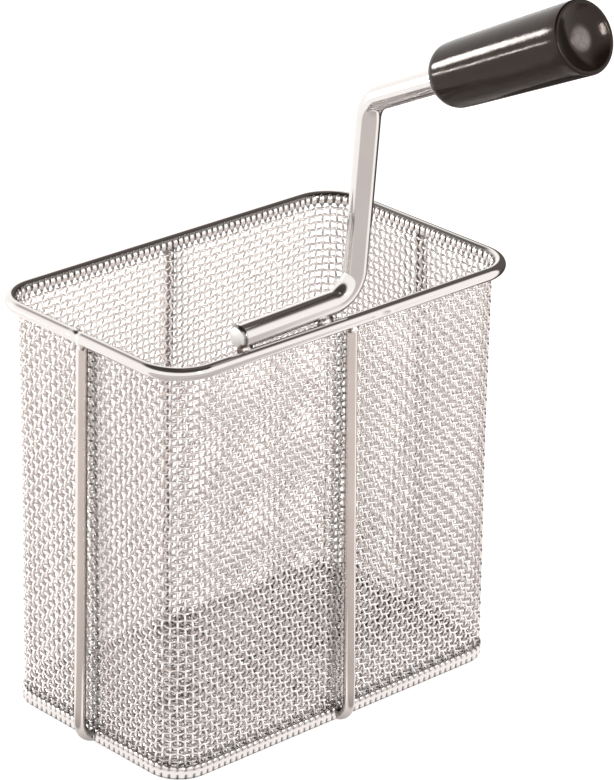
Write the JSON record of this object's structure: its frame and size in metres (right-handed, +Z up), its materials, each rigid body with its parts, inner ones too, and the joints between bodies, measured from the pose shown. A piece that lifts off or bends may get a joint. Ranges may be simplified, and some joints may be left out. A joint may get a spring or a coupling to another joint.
{
  "type": "pasta basket",
  "caption": "Woven steel wire basket for boiling and draining pasta, with a round rod rim, a cradle of two bent bars under it, and a cranked rod handle with a tapered black grip.",
  "frame": {"origin": "on the worktop, under the point where the two cradle bars cross below the middle of the floor", "axes": "+X along the long walls, away from the sawn end of the handle rod; -Y out of the front wall, the way the handle reaches; +Z up"},
  "size_m": [0.198, 0.2415, 0.3444],
  "materials": {
    "polished_steel": "bright polished stainless round rod",
    "woven_steel": "bright plain-woven stainless wire",
    "satin_steel": "drawn satin stainless bar",
    "weld_metal": "cleaned weld metal",
    "black_grip": "glossy moulded plastic"
  },
  "bodies": {
    "root": {"rim": "polished_steel", "mesh_sleeve": "woven_steel", "mesh_floor": "woven_steel", "long_cradle_bar": "satin_steel", "cross_cradle_bar": "satin_steel", "handle_rod": "polished_steel", "grip": "black_grip", "weld_beads": "weld_metal"}
  },
  "joints": []
}
